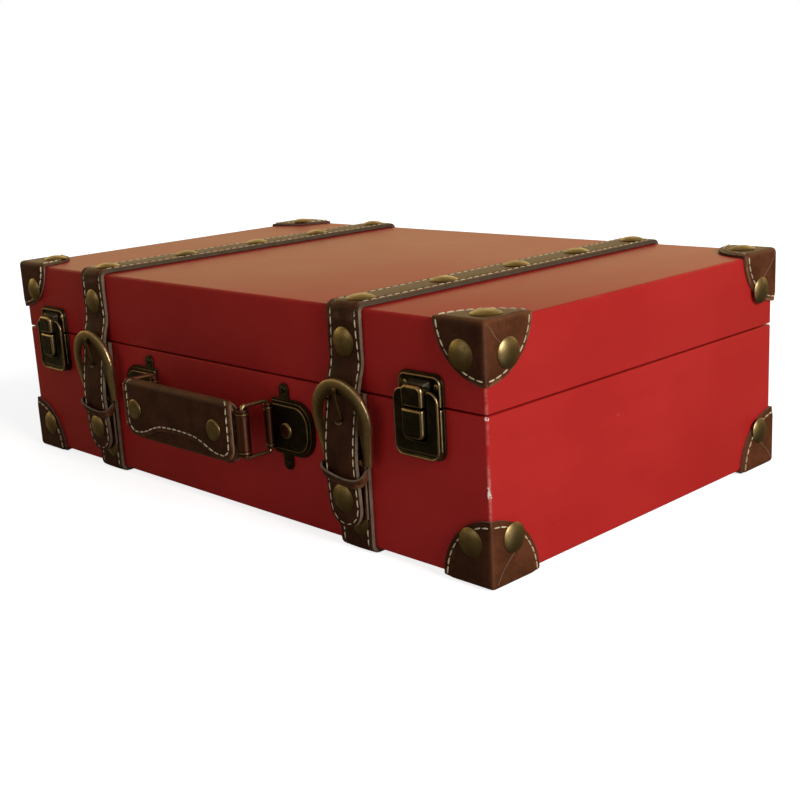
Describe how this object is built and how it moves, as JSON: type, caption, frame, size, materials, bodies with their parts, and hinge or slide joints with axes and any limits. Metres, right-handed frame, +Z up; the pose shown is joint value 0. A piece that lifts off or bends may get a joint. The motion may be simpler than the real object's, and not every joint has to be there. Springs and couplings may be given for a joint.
{
  "type": "suitcase trunk",
  "caption": "Small hard-sided travelling trunk with a hinged lid, leather corner caps, buckled straps, flap latches and a linked carry handle.",
  "frame": {"origin": "on the surface that the trunk lies on, in the middle of the plan of the whole object with its handle", "axes": "+X to the right seen from the front, front with the handle towards -Y, +Z up"},
  "size_m": [0.44, 0.2958, 0.1373],
  "materials": {
    "red_covering": "red coated board, satin, worn pale at the edges",
    "lining_cloth": "plain woven lining, matt",
    "brown_leather": "dark brown waxed leather with pale stitching, satin",
    "antique_brass": "antique brass with dark patina in its hollows",
    "bronze": "dark copper bronze, satin"
  },
  "bodies": {
    "base": {"base_shell": "red_covering", "base_lining": "lining_cloth", "base_corner_front_right": "brown_leather", "base_corner_back_right": "brown_leather", "hinge_base_leaf_right": "antique_brass", "hinge_pin_right": "antique_brass", "latch_lower_plate_right": "antique_brass", "latch_pin_right": "antique_brass", "base_strap_right": "brown_leather", "base_strap_stud_right": "antique_brass", "handle_plate_right": "antique_brass", "handle_cap_right": "antique_brass", "base_corner_front_left": "brown_leather", "base_corner_back_left": "brown_leather", "hinge_base_leaf_left": "antique_brass", "hinge_pin_left": "antique_brass", "latch_lower_plate_left": "antique_brass", "latch_pin_left": "antique_brass", "base_strap_left": "brown_leather", "base_strap_stud_left": "antique_brass", "handle_plate_left": "antique_brass", "handle_cap_left": "antique_brass"},
    "lid": {"lid_shell": "red_covering", "lid_lining": "lining_cloth", "lid_corner_front_right": "brown_leather", "lid_corner_back_right": "brown_leather", "hinge_lid_leaf_right": "antique_brass", "latch_upper_plate_right": "antique_brass", "lid_strap_right": "brown_leather", "lid_strap_stud_right": "antique_brass", "lid_corner_front_left": "brown_leather", "lid_corner_back_left": "brown_leather", "hinge_lid_leaf_left": "antique_brass", "latch_upper_plate_left": "antique_brass", "lid_strap_left": "brown_leather", "lid_strap_stud_left": "antique_brass"},
    "latch_flap_right": {"latch_flap_right": "antique_brass"},
    "latch_slider_right": {"latch_slider_right": "antique_brass"},
    "strap_tab_right": {"strap_tip_right": "brown_leather", "tip_stud_right": "antique_brass", "chape_right": "brown_leather", "keeper_right": "brown_leather"},
    "buckle_frame_right": {"buckle_frame_right": "antique_brass"},
    "buckle_prong_right": {"buckle_prong_right": "antique_brass"},
    "handle_link_right": {"handle_link_right": "bronze"},
    "latch_flap_left": {"latch_flap_left": "antique_brass"},
    "latch_slider_left": {"latch_slider_left": "antique_brass"},
    "strap_tab_left": {"strap_tip_left": "brown_leather", "tip_stud_left": "antique_brass", "chape_left": "brown_leather", "keeper_left": "brown_leather"},
    "buckle_frame_left": {"buckle_frame_left": "antique_brass"},
    "buckle_prong_left": {"buckle_prong_left": "antique_brass"},
    "handle_link_left": {"handle_link_left": "bronze"},
    "grip": {"grip_front": "brown_leather", "grip_back": "brown_leather", "grip_stud_right": "antique_brass", "grip_stud_left": "antique_brass", "grip_tube_right": "bronze", "grip_tube_left": "bronze"}
  },
  "joints": [
    {"name": "lid_hinge", "type": "hinge", "parent": "base", "child": "lid", "pos_m": [0, 0.1449, 0.0877], "axis": [-1, 0, 0], "range_deg": [0, 105]},
    {"name": "latch_flap_turn_right", "type": "hinge", "parent": "base", "child": "latch_flap_right", "pos_m": [0.176, -0.1195, 0.0643], "axis": [1, 0, 0], "range_deg": [0, 90]},
    {"name": "latch_slide_right", "type": "slide", "parent": "latch_flap_right", "child": "latch_slider_right", "axis": [0, 0, -1], "range_m": [0, 0.003], "stiffness_N_per_m": 200, "springref_m": -0.002},
    {"name": "strap_tab_fold_right", "type": "hinge", "parent": "lid", "child": "strap_tab_right", "pos_m": [0.121, -0.1186, 0.1031], "axis": [-1, 0, 0], "range_deg": [0, 90]},
    {"name": "buckle_frame_turn_right", "type": "hinge", "parent": "strap_tab_right", "child": "buckle_frame_right", "pos_m": [0.121, -0.1205, 0.0516], "axis": [1, 0, 0], "range_deg": [0, 4]},
    {"name": "buckle_prong_turn_right", "type": "hinge", "parent": "buckle_frame_right", "child": "buckle_prong_right", "pos_m": [0.121, -0.1205, 0.0516], "axis": [1, 0, 0], "range_deg": [0, 4]},
    {"name": "latch_flap_turn_left", "type": "hinge", "parent": "base", "child": "latch_flap_left", "pos_m": [-0.176, -0.1195, 0.0643], "axis": [1, 0, 0], "range_deg": [0, 90]},
    {"name": "latch_slide_left", "type": "slide", "parent": "latch_flap_left", "child": "latch_slider_left", "axis": [0, 0, -1], "range_m": [0, 0.003], "stiffness_N_per_m": 200, "springref_m": -0.002},
    {"name": "strap_tab_fold_left", "type": "hinge", "parent": "lid", "child": "strap_tab_left", "pos_m": [-0.121, -0.1186, 0.1031], "axis": [-1, 0, 0], "range_deg": [0, 90]},
    {"name": "buckle_frame_turn_left", "type": "hinge", "parent": "strap_tab_left", "child": "buckle_frame_left", "pos_m": [-0.121, -0.1205, 0.0516], "axis": [1, 0, 0], "range_deg": [0, 4]},
    {"name": "buckle_prong_turn_left", "type": "hinge", "parent": "buckle_frame_left", "child": "buckle_prong_left", "pos_m": [-0.121, -0.1205, 0.0516], "axis": [1, 0, 0], "range_deg": [0, 4]},
    {"name": "link_swing_left", "type": "hinge", "parent": "base", "child": "handle_link_left", "pos_m": [-0.056, -0.1202, 0.0592], "axis": [0, 0, 1], "range_deg": [-50, 50]},
    {"name": "link_swing_right", "type": "hinge", "parent": "base", "child": "handle_link_right", "pos_m": [0.056, -0.1202, 0.0592], "axis": [0, 0, 1], "range_deg": [-50, 50]},
    {"name": "grip_turn", "type": "hinge", "parent": "handle_link_left", "child": "grip", "pos_m": [-0.056, -0.1382, 0.0592], "axis": [0, 0, 1], "range_deg": [-50, 50]}
  ],
  "couplings": [
    {"joint": "link_swing_right", "follows": "link_swing_left", "ratio": 1},
    {"joint": "grip_turn", "follows": "link_swing_left", "ratio": -1}
  ]
}
